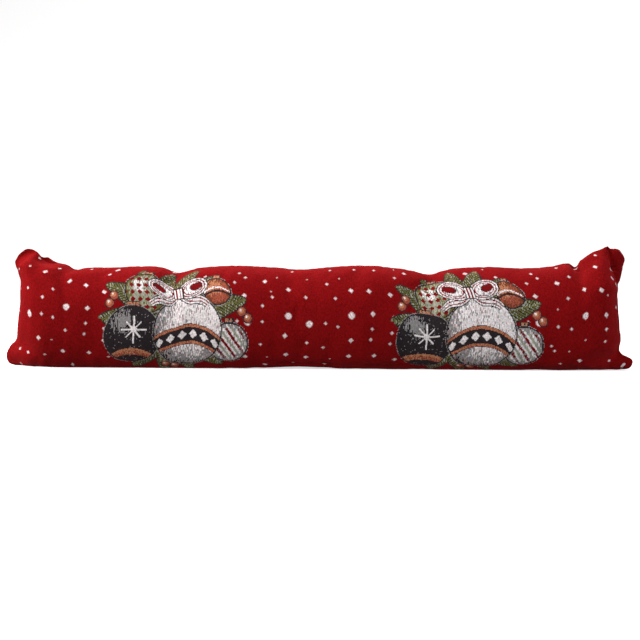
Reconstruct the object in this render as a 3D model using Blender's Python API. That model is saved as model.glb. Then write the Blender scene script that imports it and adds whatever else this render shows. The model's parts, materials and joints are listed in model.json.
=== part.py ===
"""A draught excluder: two long cloth panels sewn together round their edge and stuffed, standing
on its long lower side. Metres, +Z up, +X along its length, front towards -Y, origin at the middle
of the base.

The two panels are grids that share their edge points, which are the seam. The seam follows the
outline of the stuffed piece as seen from the front, with its four corner ears. Between the seams
each panel is crowned by the filling, flattened where it stands on the floor, and then pulled about
by the soft dents and puffs in the tables.
"""

import math

import bmesh
import bpy
from mathutils import Vector

# Driving sizes
BODY_HEIGHT = 0.142
HALF_DEPTH = 0.054
END_ROUNDING = 0.058
FLOOR_SINK = 0.010
FLOOR_BLEND = 0.004
FULLNESS_ABOVE = 2.15
FULLNESS_BELOW = 2.45

# The grid of one panel
END_COLUMNS = 13
MIDDLE_COLUMNS = 62
ROWS = 20
SEAM_WELD = 0.00002

# The seam as seen from the front: the top and bottom from left to right, the ends from the foot up
TOP_SEAM = (
    # along, height
    (-0.4205, 0.1615),
    (-0.4125, 0.1650),
    (-0.4015, 0.1625),
    (-0.3935, 0.1535),
    (-0.3860, 0.1480),
    (-0.3740, 0.1455),
    (-0.3620, 0.1425),
    (-0.3470, 0.1355),
    (-0.3330, 0.1385),
    (-0.2970, 0.1390),
    (-0.2550, 0.1405),
    (-0.2240, 0.1395),
    (-0.2010, 0.1325),
    (-0.1720, 0.1385),
    (-0.1250, 0.1415),
    (-0.0660, 0.1395),
    (-0.0300, 0.1368),
    (0.0200, 0.1405),
    (0.0520, 0.1420),
    (0.1110, 0.1392),
    (0.1490, 0.1288),
    (0.1800, 0.1375),
    (0.2380, 0.1405),
    (0.2770, 0.1390),
    (0.3200, 0.1415),
    (0.3430, 0.1455),
    (0.3550, 0.1405),
    (0.3645, 0.1535),
    (0.3755, 0.1620),
    (0.3880, 0.1660),
    (0.3990, 0.1685),
)
BOTTOM_SEAM = (
    # along, height
    (-0.4465, 0.0070),
    (-0.4400, 0.0005),
    (-0.4250, 0.0000),
    (0.4150, 0.0000),
    (0.4230, 0.0000),
    (0.4285, 0.0020),
)
LEFT_SEAM = (
    # along, height
    (-0.4465, 0.0070),
    (-0.4482, 0.0140),
    (-0.4465, 0.0210),
    (-0.4395, 0.0310),
    (-0.4330, 0.0380),
    (-0.4310, 0.0500),
    (-0.4280, 0.0680),
    (-0.4250, 0.0900),
    (-0.4252, 0.1070),
    (-0.4255, 0.1200),
    (-0.4300, 0.1340),
    (-0.4340, 0.1450),
    (-0.4305, 0.1545),
    (-0.4205, 0.1615),
)
RIGHT_SEAM = (
    # along, height
    (0.4285, 0.0020),
    (0.4328, 0.0080),
    (0.4335, 0.0140),
    (0.4280, 0.0185),
    (0.4185, 0.0215),
    (0.4140, 0.0270),
    (0.4135, 0.0350),
    (0.4150, 0.0430),
    (0.4130, 0.0540),
    (0.4135, 0.0640),
    (0.4115, 0.0850),
    (0.4103, 0.1000),
    (0.4105, 0.1090),
    (0.4110, 0.1190),
    (0.4085, 0.1320),
    (0.4050, 0.1450),
    (0.4020, 0.1580),
    (0.3990, 0.1685),
)

# How deep the filled body is along its length, as a share of HALF_DEPTH
DEPTHS = (
    # along, share
    (-0.45, 1.00),
    (-0.34, 0.98),
    (-0.27, 1.01),
    (-0.20, 0.94),
    (-0.12, 1.02),
    (-0.03, 0.97),
    (0.06, 1.02),
    (0.15, 0.92),
    (0.23, 1.01),
    (0.33, 1.00),
    (0.45, 1.00),
)

FRONT, BACK = -1, 1

# Where a panel is pushed about by its folds. A row moves the panel by its shift at its centre,
# and less with distance, measured along a line that leans at its angle and across it. The seam
# itself stays, so the push grows from nothing there to all of it at this share of the crown.
PUFF_ROOT = 0.1
PUFFS = (
    # panel, along, height, length, width, angle, shift along, shift outward, shift up
    # The back of the right ear swells past the seam, which lies in a valley in front of it
    (BACK, 0.3990, 0.1600, 0.034, 0.018, 100, 0.028, 0.004, 0.006),
    (FRONT, 0.3880, 0.1450, 0.034, 0.016, 112, 0.002, 0.009, 0.000),
    # The back of the left ear stands behind its front edge
    (BACK, -0.3890, 0.1460, 0.012, 0.010, 160, 0.003, -0.004, 0.006),
    # The left ear's tip is bent back behind a slanting ridge
    (FRONT, -0.4150, 0.1560, 0.016, 0.010, 40, 0.000, -0.007, 0.000),
    (FRONT, -0.4030, 0.1480, 0.020, 0.008, 42, 0.000, 0.004, 0.000),
    # Tucks below the two dips of the top edge
    (FRONT, -0.2010, 0.1240, 0.018, 0.006, 25, 0.000, -0.005, -0.001),
    (FRONT, 0.1500, 0.1200, 0.018, 0.006, 20, 0.000, -0.005, -0.001),
    (BACK, -0.1960, 0.1220, 0.020, 0.008, -20, 0.000, -0.005, -0.001),
    (BACK, 0.1530, 0.1190, 0.020, 0.008, -20, 0.000, -0.005, -0.001),
    # Drawn-in cloth at the roots of the ears
    (FRONT, -0.3900, 0.1300, 0.026, 0.009, 125, 0.000, -0.003, 0.000),
    (FRONT, 0.3640, 0.1400, 0.020, 0.007, 40, 0.000, -0.006, 0.000),
    (FRONT, -0.4120, 0.0380, 0.020, 0.008, 150, 0.000, -0.006, 0.000),
    (FRONT, 0.4040, 0.0300, 0.022, 0.009, 20, 0.000, -0.006, 0.000),
    (BACK, -0.3850, 0.1280, 0.026, 0.010, 130, 0.000, -0.004, 0.000),
    (BACK, 0.3700, 0.1280, 0.026, 0.010, 50, 0.000, -0.004, 0.000),
    (BACK, -0.4080, 0.0400, 0.020, 0.009, 150, 0.000, -0.006, 0.000),
    (BACK, 0.4020, 0.0380, 0.020, 0.009, 30, 0.000, -0.006, 0.000),
)

# How far the seam itself lies towards the front, where the filling pushes it over
SEAM_SHIFTS = (
    # along, height, reach, forward
    (0.4040, 0.1450, 0.030, 0.010),
    (0.4300, 0.0060, 0.034, 0.024),
    (-0.3850, 0.1480, 0.020, 0.004),
    (-0.1900, 0.1400, 0.080, -0.003),
    (0.0600, 0.1420, 0.100, 0.003),
)

CLOTH_COLOUR = (0.31, 0.010, 0.012, 1.0)
CLOTH_ROUGHNESS = 0.9


class Line:
    """A smooth line through a table's points, read by its share of length from 0 to 1."""

    STEPS = 24

    def __init__(self, rows):
        knots = [Vector(row) for row in rows]
        chords = [end - start for start, end in zip(knots, knots[1:])]
        before = [chords[0], *chords]
        after = [*chords, chords[-1]]
        headings = [(a.normalized() + b.normalized()).normalized() for a, b in zip(before, after)]
        self.points = [knots[0]]
        for i, chord in enumerate(chords):
            leaving = headings[i] * chord.length
            arriving = headings[i + 1] * chord.length
            for step in range(1, self.STEPS + 1):
                share = step / self.STEPS
                self.points.append(curved(knots[i], leaving, knots[i + 1], arriving, share))
        self.lengths = [0.0]
        for start, end in zip(self.points, self.points[1:]):
            self.lengths.append(self.lengths[-1] + (end - start).length)

    def at(self, share):
        wanted = min(max(share, 0.0), 1.0) * self.lengths[-1]
        low, high = 0, len(self.lengths) - 1
        while high - low > 1:
            middle = (low + high) // 2
            low, high = (middle, high) if self.lengths[middle] <= wanted else (low, middle)
        part = (wanted - self.lengths[low]) / (self.lengths[high] - self.lengths[low])
        return self.points[low].lerp(self.points[high], part)


def curved(start, leaving, end, arriving, t):
    """The point at t on the cubic from start to end that has these headings at its ends."""
    return (
        (2 * t**3 - 3 * t**2 + 1) * start
        + (t**3 - 2 * t**2 + t) * leaving
        + (3 * t**2 - 2 * t**3) * end
        + (t**3 - t**2) * arriving
    )


def read_table(rows, along):
    """The second column of a table at a place between its rows, eased from row to row."""
    for (start, low), (end, high) in zip(rows, rows[1:]):
        if along <= end:
            part = min(max((along - start) / (end - start), 0.0), 1.0)
            return low + (high - low) * part * part * (3 - 2 * part)
    return rows[-1][1]


TOP = Line(TOP_SEAM)
BOTTOM = Line(BOTTOM_SEAM)
LEFT = Line(LEFT_SEAM)
RIGHT = Line(RIGHT_SEAM)


def column_angles():
    """For each column, how far it is round the rounded left end and the right one, as angles that
    reach a quarter turn where the body is full, and its share of the straight stretch between."""
    quarter = math.pi / 2
    for column in range(END_COLUMNS):
        yield quarter * column / END_COLUMNS, quarter, 0.0
    for column in range(MIDDLE_COLUMNS + 1):
        yield quarter, quarter, column / MIDDLE_COLUMNS
    for column in range(END_COLUMNS - 1, -1, -1):
        yield quarter, quarter * column / END_COLUMNS, 1.0


def column_places():
    """For each column: how far along it is in the middle of the panel and at the top and bottom
    seams, both from 0 to 1, and how full it is, from 0 at an end seam to 1."""
    length = RIGHT.at(0.5).x - LEFT.at(0.5).x
    straight = length - 2 * END_ROUNDING
    end_cloth = END_ROUNDING * math.pi / 2
    cloth = straight + 2 * end_cloth
    for left, right, share in column_angles():
        inside = END_ROUNDING * (1 - math.cos(left) + math.cos(right)) + straight * share
        rolled = END_ROUNDING * (left + math.pi / 2 - right) + straight * share
        yield inside / length, rolled / cloth, math.sin(left) * math.sin(right)


def row_places():
    """For each row: its height in the full section and along an end seam, both from 0 to 1, and
    how far it stands out, from 0 at the seams to 1."""
    for row in range(ROWS + 1):
        angle = math.pi * row / ROWS
        rise, out = -math.cos(angle), math.sin(angle)
        fullness = FULLNESS_ABOVE if rise > 0 else FULLNESS_BELOW
        height = math.copysign(abs(rise) ** (2 / fullness), rise)
        yield (height + 1) / 2, row / ROWS, out ** (2 / fullness)


def outline_point(across, up):
    """The place inside the four seams at these shares of the way across and up, as
    (along, height): the two blends between opposite seams, less the blend of the corners."""
    between_ends = LEFT.at(up).lerp(RIGHT.at(up), across)
    between_seams = BOTTOM.at(across).lerp(TOP.at(across), up)
    low = LEFT.points[0].lerp(RIGHT.points[0], across)
    high = LEFT.points[-1].lerp(RIGHT.points[-1], across)
    return between_ends + between_seams - low.lerp(high, up)


def settled(height, full):
    """The height once the filled body has sunk onto the floor."""
    sunk = height - FLOOR_SINK * full * max(0.0, 1 - height / BODY_HEIGHT)
    if sunk >= FLOOR_BLEND:
        return sunk
    if sunk <= -FLOOR_BLEND:
        return 0.0
    return (sunk + FLOOR_BLEND) ** 2 / (4 * FLOOR_BLEND)


def bump(distance, reach):
    return math.exp(-((distance / reach) ** 2))


def puffed(along, height, crown, panel):
    """How far the folds push a point of a panel."""
    push = Vector((0.0, 0.0, 0.0))
    for puff_panel, x, z, length, width, angle, shift_x, outward, shift_z in PUFFS:
        if puff_panel != panel:
            continue
        lean = math.radians(angle)
        aside, above = along - x, height - z
        lengthwise = aside * math.cos(lean) + above * math.sin(lean)
        crosswise = above * math.cos(lean) - aside * math.sin(lean)
        share = bump(lengthwise, length) * bump(crosswise, width)
        push += share * Vector((shift_x, panel * outward, shift_z))
    return push * min(1.0, crown / PUFF_ROOT)


def seam_lean(along, height, crown):
    """How far the seam and the cloth beside it lean to the front."""
    lean = 0.0
    for x, z, reach, forward in SEAM_SHIFTS:
        lean += forward * bump(math.hypot(along - x, height - z), reach)
    return lean * (1 - crown)


def cloth_point(column, row, panel):
    """Where a point of a panel's grid lies on the stuffed piece."""
    middle_across, seam_across, full = column
    middle_up, end_up, out = row
    across = seam_across + (middle_across - seam_across) * out
    up = end_up + (middle_up - end_up) * full
    along, height = outline_point(across, up)
    crown = full * out
    depth = HALF_DEPTH * read_table(DEPTHS, along) * crown
    point = Vector((along, panel * depth, settled(height, full)))
    point += puffed(along, height, crown, panel)
    point.y -= seam_lean(along, height, crown)
    return point


def add_panel(mesh, panel):
    """Adds one panel's grid to the mesh, shaped, with its faces pointing out."""
    columns, rows = list(column_places()), list(row_places())
    across, up = len(columns) - 1, len(rows) - 1
    made = bmesh.ops.create_grid(mesh, x_segments=across, y_segments=up, size=1.0)
    for vert in made["verts"]:
        column = round((vert.co.x + 1) / 2 * across)
        row = round((vert.co.y + 1) / 2 * up)
        vert.co = cloth_point(columns[column], rows[row], panel)
    faces = {face for vert in made["verts"] for face in vert.link_faces}
    if panel == BACK:
        bmesh.ops.reverse_faces(mesh, faces=list(faces))


def cloth_material():
    material = bpy.data.materials.new("red_tapestry")
    material.use_nodes = True
    shader = material.node_tree.nodes["Principled BSDF"]
    shader.inputs["Base Color"].default_value = CLOTH_COLOUR
    shader.inputs["Roughness"].default_value = CLOTH_ROUGHNESS
    shader.inputs["Metallic"].default_value = 0.0
    return material


def build_cover():
    """The stuffed cover: front and back panels sewn along their shared edge, then centred."""
    mesh = bmesh.new()
    add_panel(mesh, FRONT)
    add_panel(mesh, BACK)
    bmesh.ops.remove_doubles(mesh, verts=mesh.verts, dist=SEAM_WELD)
    xs = [vert.co.x for vert in mesh.verts]
    ys = [vert.co.y for vert in mesh.verts]
    middle = Vector(((min(xs) + max(xs)) / 2, (min(ys) + max(ys)) / 2, 0.0))
    bmesh.ops.translate(mesh, verts=mesh.verts, vec=-middle)

    data = bpy.data.meshes.new("stuffed_cover")
    mesh.to_mesh(data)
    mesh.free()
    data.shade_smooth()
    data.materials.append(cloth_material())
    return bpy.data.objects.new("stuffed_cover", data)


def main():
    for old in list(bpy.data.objects):
        bpy.data.objects.remove(old)
    collection = bpy.data.collections.new("draught_excluder")
    bpy.context.scene.collection.children.link(collection)
    collection.objects.link(build_cover())


main()
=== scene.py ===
"""The looks of a draught excluder: a long stuffed cushion of red woven tapestry with white dots and
two clusters of baubles, standing on its long side. Metres, +Z up, +X along it, front towards -Y."""

import json
import math

import bpy
import numpy as np
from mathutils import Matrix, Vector

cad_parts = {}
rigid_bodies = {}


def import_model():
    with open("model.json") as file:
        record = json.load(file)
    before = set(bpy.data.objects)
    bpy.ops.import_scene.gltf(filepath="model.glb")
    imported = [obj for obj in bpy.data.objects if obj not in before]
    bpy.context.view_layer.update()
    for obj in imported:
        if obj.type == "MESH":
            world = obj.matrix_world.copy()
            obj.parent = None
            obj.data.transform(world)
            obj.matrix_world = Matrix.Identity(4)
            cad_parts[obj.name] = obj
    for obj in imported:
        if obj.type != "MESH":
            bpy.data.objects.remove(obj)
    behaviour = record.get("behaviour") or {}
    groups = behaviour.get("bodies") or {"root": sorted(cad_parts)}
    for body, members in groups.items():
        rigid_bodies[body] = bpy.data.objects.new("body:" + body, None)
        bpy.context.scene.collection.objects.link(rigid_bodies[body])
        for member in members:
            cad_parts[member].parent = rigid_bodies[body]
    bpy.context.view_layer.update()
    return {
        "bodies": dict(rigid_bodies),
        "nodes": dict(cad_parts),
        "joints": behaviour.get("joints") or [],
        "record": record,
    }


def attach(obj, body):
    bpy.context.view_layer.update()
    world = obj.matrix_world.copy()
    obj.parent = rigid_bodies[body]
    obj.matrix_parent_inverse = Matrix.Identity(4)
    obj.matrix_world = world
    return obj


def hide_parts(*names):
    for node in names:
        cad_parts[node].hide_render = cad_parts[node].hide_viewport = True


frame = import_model()

MM = 0.001
# Distances in metres that count as none
AT_SEAM = 1e-6
HARDLY = 1e-9

# The cushion's sizes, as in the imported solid
BODY_HEIGHT = 0.142
HALF_DEPTH = 0.054
END_ROUNDING = 0.058
FLOOR_SINK = 0.010
FLOOR_BLEND = 0.004
FULLNESS_ABOVE = 2.15
FULLNESS_BELOW = 2.45

# The fine grid of one panel, before its one subdivision
END_COLUMNS = 22
MIDDLE_COLUMNS = 160
ROWS = 46
SOFT_CORNER = 0.016

# The four sides of the seam that joins the panels
TOP_SEAM = (
    # along, height
    (-0.4205, 0.1615), (-0.4125, 0.165), (-0.4015, 0.1625), (-0.3935, 0.1535), (-0.386, 0.148),
    (-0.374, 0.1455), (-0.362, 0.1425), (-0.347, 0.1355), (-0.333, 0.1385), (-0.297, 0.139),
    (-0.255, 0.1405), (-0.224, 0.1395), (-0.201, 0.1325), (-0.172, 0.1385), (-0.125, 0.1415),
    (-0.066, 0.1395), (-0.03, 0.1368), (0.02, 0.1405), (0.052, 0.142), (0.111, 0.1392),
    (0.149, 0.1288), (0.18, 0.1375), (0.238, 0.1405), (0.277, 0.139), (0.32, 0.1415),
    (0.343, 0.1455), (0.355, 0.1405), (0.3645, 0.1535), (0.3755, 0.162), (0.388, 0.166),
    (0.399, 0.1685),
)
BOTTOM_SEAM = (
    # along, height
    (-0.4465, 0.007), (-0.44, 0.0005), (-0.425, 0.0), (0.415, 0.0), (0.423, 0.0), (0.4285, 0.002),
)
LEFT_SEAM = (
    # along, height
    (-0.4465, 0.007), (-0.4482, 0.014), (-0.4465, 0.021), (-0.4395, 0.031), (-0.433, 0.038),
    (-0.431, 0.05), (-0.428, 0.068), (-0.425, 0.09), (-0.4252, 0.107), (-0.4255, 0.12),
    (-0.43, 0.134), (-0.434, 0.145), (-0.4305, 0.1545), (-0.4205, 0.1615),
)
RIGHT_SEAM = (
    # along, height
    (0.4285, 0.002), (0.4328, 0.008), (0.4335, 0.014), (0.428, 0.0185), (0.4185, 0.0215),
    (0.414, 0.027), (0.4135, 0.035), (0.415, 0.043), (0.413, 0.054), (0.4135, 0.064),
    (0.4115, 0.085), (0.4103, 0.1), (0.4105, 0.109), (0.411, 0.119), (0.4085, 0.132),
    (0.405, 0.145), (0.402, 0.158), (0.399, 0.1685),
)

# How deep the body is along its length
DEPTHS = (
    # along, share of the half depth
    (-0.45, 1.0), (-0.34, 0.98), (-0.27, 1.01), (-0.2, 0.94), (-0.12, 1.02), (-0.03, 0.97),
    (0.06, 1.02), (0.15, 0.92), (0.23, 1.01), (0.33, 1.0), (0.45, 1.0),
)

# Puffs and dents of the panels, which die away at the seam
FRONT, BACK = -1, 1
PUFF_ROOT = 0.1
PUFFS = (
    # panel, along, height, length, width, angle, shift along, shift outward, shift up
    (BACK, 0.399, 0.16, 0.034, 0.018, 100, 0.028, 0.004, 0.006),
    (FRONT, 0.388, 0.145, 0.034, 0.016, 112, 0.002, 0.009, 0.0),
    (BACK, -0.389, 0.146, 0.012, 0.01, 160, 0.003, -0.004, 0.006),
    (FRONT, -0.415, 0.156, 0.016, 0.01, 40, 0.0, -0.007, 0.0),
    (FRONT, -0.403, 0.148, 0.02, 0.008, 42, 0.0, 0.004, 0.0),
    (FRONT, -0.201, 0.124, 0.018, 0.006, 25, 0.0, -0.005, -0.001),
    (FRONT, 0.15, 0.12, 0.018, 0.006, 20, 0.0, -0.005, -0.001),
    (BACK, -0.196, 0.122, 0.02, 0.008, -20, 0.0, -0.005, -0.001),
    (BACK, 0.153, 0.119, 0.02, 0.008, -20, 0.0, -0.005, -0.001),
    (FRONT, -0.39, 0.13, 0.026, 0.009, 125, 0.0, -0.003, 0.0),
    (FRONT, 0.364, 0.14, 0.02, 0.007, 40, 0.0, -0.006, 0.0),
    (FRONT, -0.412, 0.038, 0.02, 0.008, 150, 0.0, -0.006, 0.0),
    (FRONT, 0.404, 0.03, 0.022, 0.009, 20, 0.0, -0.006, 0.0),
    (BACK, -0.385, 0.128, 0.026, 0.01, 130, 0.0, -0.004, 0.0),
    (BACK, 0.37, 0.128, 0.026, 0.01, 50, 0.0, -0.004, 0.0),
    (BACK, -0.408, 0.04, 0.02, 0.009, 150, 0.0, -0.006, 0.0),
    (BACK, 0.402, 0.038, 0.02, 0.009, 30, 0.0, -0.006, 0.0),
)

# Where the seam lies forward of the cushion's middle, or behind it
SEAM_SHIFTS = (
    # along, height, reach, forward
    (0.404, 0.145, 0.03, 0.01),
    (0.43, 0.006, 0.034, 0.024),
    (-0.385, 0.148, 0.02, 0.004),
    (-0.19, 0.14, 0.08, -0.003),
    (0.06, 0.142, 0.1, 0.003),
)


class Line:
    """A smooth line through a table's points, read by shares of its length from 0 to 1."""

    STEPS = 24

    def __init__(self, rows):
        knots = np.array(rows)
        chords = np.diff(knots, axis=0)
        sizes = np.linalg.norm(chords, axis=1, keepdims=True)
        ways = chords / sizes
        headings = np.vstack([ways[:1], ways]) + np.vstack([ways, ways[-1:]])
        headings /= np.linalg.norm(headings, axis=1, keepdims=True)
        t = np.linspace(0, 1, self.STEPS, endpoint=False)[:, None]
        runs = [
            (2 * t**3 - 3 * t**2 + 1) * knots[i]
            + (t**3 - 2 * t**2 + t) * headings[i] * sizes[i]
            + (3 * t**2 - 2 * t**3) * knots[i + 1]
            + (t**3 - t**2) * headings[i + 1] * sizes[i]
            for i in range(len(chords))
        ]
        self.points = np.vstack([*runs, knots[-1:]])
        steps = np.linalg.norm(np.diff(self.points, axis=0), axis=1)
        self.lengths = np.concatenate([[0.0], np.cumsum(steps)])

    def at(self, shares):
        wanted = np.clip(shares, 0.0, 1.0) * self.lengths[-1]
        return np.stack([np.interp(wanted, self.lengths, axis) for axis in self.points.T], axis=-1)


TOP, BOTTOM, LEFT, RIGHT = (Line(rows) for rows in (TOP_SEAM, BOTTOM_SEAM, LEFT_SEAM, RIGHT_SEAM))


def eased(rows, along):
    """A table's second column at many places, eased from row to row."""
    places, values = np.array(rows).T
    i = np.clip(np.searchsorted(places, along) - 1, 0, len(places) - 2)
    part = np.clip((along - places[i]) / (places[i + 1] - places[i]), 0.0, 1.0)
    return values[i] + (values[i + 1] - values[i]) * part * part * (3 - 2 * part)


def bump(distance, reach):
    """1 at no distance, and dying away past the reach."""
    return np.exp(-((distance / reach) ** 2))


def columns():
    """For each column: its place in the panel's middle and at its long seams, from 0 to 1, its
    fullness, and its place along the flat cloth in metres, from the middle of the cushion."""
    quarter = math.pi / 2
    round_left = np.linspace(0, quarter, END_COLUMNS, endpoint=False)
    left = np.concatenate([round_left, np.full(MIDDLE_COLUMNS + 1 + END_COLUMNS, quarter)])
    right = left[::-1]
    share = np.concatenate(
        [np.zeros(END_COLUMNS), np.linspace(0, 1, MIDDLE_COLUMNS + 1), np.ones(END_COLUMNS)]
    )
    low, high = LEFT.at(0.5)[0], RIGHT.at(0.5)[0]
    length = high - low
    straight = length - 2 * END_ROUNDING
    end_cloth = END_ROUNDING * quarter
    inside = END_ROUNDING * (1 - np.cos(left) + np.cos(right)) + straight * share
    rolled = END_ROUNDING * (left + quarter - right) + straight * share
    flat = rolled - end_cloth + low + END_ROUNDING
    full = np.sin(left) * np.sin(right)
    return inside / length, rolled / (straight + 2 * end_cloth), full, flat


def settled(height, full):
    """The height once the filled body has sunk onto the floor."""
    sunk = height - FLOOR_SINK * full * np.maximum(0.0, 1 - height / BODY_HEIGHT)
    blended = (sunk + FLOOR_BLEND) ** 2 / (4 * FLOOR_BLEND)
    return np.where(sunk >= FLOOR_BLEND, sunk, np.where(sunk <= -FLOOR_BLEND, 0.0, blended))


def rows():
    """For each row: its height in the full section and at the ends, from 0 to 1, how far it
    stands out, and its place up the flat cloth in metres, from the bottom seam."""
    angle = np.linspace(0, math.pi, ROWS + 1)
    rise, out = -np.cos(angle), np.sin(angle)
    fullness = np.where(rise > 0, FULLNESS_ABOVE, FULLNESS_BELOW)
    height = (np.sign(rise) * np.abs(rise) ** (2 / fullness) + 1) / 2
    out = np.clip(out, 0, 1) ** (2 / fullness)
    section = np.stack([HALF_DEPTH * out, settled(BODY_HEIGHT * height, 1.0)], axis=-1)
    steps = np.linalg.norm(np.diff(section, axis=0), axis=1)
    flat = np.concatenate([[0.0], np.cumsum(steps)])
    return height, angle / math.pi, out, flat


def outline(across, up):
    """The places inside the four seams, as along and height."""
    ends = LEFT.at(up) * (1 - across)[..., None] + RIGHT.at(up) * across[..., None]
    seams = BOTTOM.at(across) * (1 - up)[..., None] + TOP.at(across) * up[..., None]
    across, up = across[..., None], up[..., None]
    low = LEFT.points[0] * (1 - across) + RIGHT.points[0] * across
    high = LEFT.points[-1] * (1 - across) + RIGHT.points[-1] * across
    return ends + seams - low * (1 - up) - high * up


def panel_points(panel):
    """The places of one panel's grid, column by column."""
    middle_across, seam_across, full, _ = (value[:, None] for value in columns())
    middle_up, end_up, out, _ = (value[None, :] for value in rows())
    across = seam_across + (middle_across - seam_across) * out
    up = end_up + (middle_up - end_up) * full
    along, height = np.moveaxis(outline(across, up), -1, 0)
    crown = full * out
    depth = HALF_DEPTH * eased(DEPTHS, along) * crown
    points = np.stack([along, panel * depth, settled(height, full)], axis=-1)
    rooted = np.minimum(1.0, crown / PUFF_ROOT)[..., None]
    for puff_panel, x, z, length, width, angle, shift_x, outward, shift_z in PUFFS:
        if puff_panel == panel:
            lean = math.radians(angle)
            aside, above = along - x, height - z
            lengthwise = aside * math.cos(lean) + above * math.sin(lean)
            crosswise = above * math.cos(lean) - aside * math.sin(lean)
            share = (bump(lengthwise, length) * bump(crosswise, width))[..., None]
            points += share * rooted * (shift_x, panel * outward, shift_z)
    for x, z, reach, forward in SEAM_SHIFTS:
        points[..., 1] -= forward * bump(np.hypot(along - x, height - z), reach) * (1 - crown)
    return points


def flat_cloth():
    """Each point's place on its flat panel and its distance from the seam, and which points the
    seam holds firm. It is soft near the corners."""
    flat_along, flat_up = np.meshgrid(columns()[3], rows()[3], indexing="ij")
    edge_along = np.minimum(flat_along - flat_along[0], flat_along[-1] - flat_along)
    edge_up = np.minimum(flat_up, flat_up[:, -1:] - flat_up)
    cloth = np.stack([flat_along, flat_up, np.minimum(edge_along, edge_up)], axis=-1)
    cloth = np.vstack([cloth.reshape(-1, 3), cloth[1:-1, 1:-1].reshape(-1, 3)])
    corner = (np.maximum(edge_along, edge_up) < SOFT_CORNER).ravel()
    return cloth, (cloth[:, 2] < AT_SEAM) & ~np.resize(corner, len(cloth))


def quads(grid):
    """The faces between a grid's points."""
    corners = [grid[:-1, :-1], grid[1:, :-1], grid[1:, 1:], grid[:-1, 1:]]
    return np.stack(corners, axis=-1).reshape(-1, 4)


def sewn_cover():
    """The two panels as one closed mesh that shares the seam's points. Material 0 is the front's
    and 1 the back's, and the attribute cloth holds what flat_cloth gives for each point."""
    front, back = panel_points(FRONT), panel_points(BACK)
    across, up = front.shape[:2]
    place = np.arange(across * up).reshape(across, up)
    behind = place.copy()
    behind[1:-1, 1:-1] = across * up + np.arange((across - 2) * (up - 2)).reshape(across - 2, up - 2)
    points = np.vstack([front.reshape(-1, 3), back[1:-1, 1:-1].reshape(-1, 3)])
    points[:, :2] -= (points[:, :2].min(axis=0) + points[:, :2].max(axis=0)) / 2
    faces = np.vstack([quads(place), quads(behind)[:, ::-1]])
    mesh = bpy.data.meshes.new("stuffed_cover_cloth")
    mesh.from_pydata(points.tolist(), [], faces.tolist())
    half = len(faces) // 2
    mesh.polygons.foreach_set("material_index", [0] * half + [1] * half)

    cloth, firm = flat_cloth()
    attribute = mesh.attributes.new("cloth", "FLOAT_VECTOR", "POINT")
    attribute.data.foreach_set("vector", cloth.ravel())
    ends = np.array(mesh.edge_keys)
    crease = mesh.attributes.new("crease_edge", "FLOAT", "EDGE")
    crease.data.foreach_set("value", firm[ends].all(axis=1).astype(float))
    mesh.update()
    cover = bpy.data.objects.new("tapestry_cover", mesh)
    bpy.context.scene.collection.objects.link(cover)
    return cover


# Where the photograph was taken from: this far off, turned to the right from straight ahead
SIGHT_DISTANCE, SIGHT_TURN, SIGHT_HEIGHT = 2.5, math.radians(4.0), 0.215
LOOKED_AT = (0.008, -0.020, 0.0672)
# The same place to a millimetre, as used in charting the creases and dots
EYE = (0.174, -2.494, SIGHT_HEIGHT)
LENS_MM = 100.5
SENSOR_MM = 36.0

# The filling's push on the cloth, which is held near its seams and on the floor
HELD_NEAR_SEAM = 0.010
HELD_NEAR_FLOOR = 0.001
SLACK = 0.010
CLOTH_MASS = 0.3
STRETCH_STIFFNESS = 14
SHEAR_STIFFNESS = 6
BENDING_STIFFNESS = 0.4
PRESSURE = 4
QUALITY = 6
FRAMES = 20

# What is kept of its result: most of the small folds, a little of the broad swelling, and a limit
BROAD_STEPS = 60
FOLDS = 0.6
SWELLING = 0.12
MOST_MOVED = 0.006


def triples(data, name):
    """A list's vectors as rows of three numbers."""
    values = np.empty(len(data) * 3, dtype=np.float32)
    data.foreach_get(name, values)
    return values.reshape(-1, 3).astype(float)


def pressed_out(piece):
    """The places of the mesh's points once the filling has pressed the cloth out."""
    start = triples(piece.data.vertices, "co")
    edge = triples(piece.data.attributes["cloth"].data, "vector")[:, 2]
    held = np.maximum(np.clip(1 - edge / HELD_NEAR_SEAM, 0, 1), start[:, 2] < HELD_NEAR_FLOOR)
    group = piece.vertex_groups.new(name="held")
    for i, weight in enumerate(held):
        if weight > 0:
            group.add([i], float(weight), "REPLACE")
    step = piece.modifiers.new("filling", "CLOTH")
    settings = step.settings
    settings.quality = QUALITY
    settings.mass = CLOTH_MASS
    settings.tension_stiffness = settings.compression_stiffness = STRETCH_STIFFNESS
    settings.shear_stiffness = SHEAR_STIFFNESS
    settings.bending_stiffness = BENDING_STIFFNESS
    settings.use_pressure = True
    settings.uniform_pressure_force = PRESSURE
    settings.vertex_group_mass = group.name
    settings.shrink_min = -SLACK
    settings.effector_weights.gravity = 0
    step.collision_settings.use_collision = False
    step.point_cache.frame_start, step.point_cache.frame_end = 1, FRAMES
    for frame in range(1, FRAMES + 1):
        bpy.context.scene.frame_set(frame)
    moved = triples(piece.evaluated_get(bpy.context.evaluated_depsgraph_get()).data.vertices, "co")
    bpy.context.scene.frame_set(1)
    piece.modifiers.clear()
    piece.vertex_groups.clear()
    return moved


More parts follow.
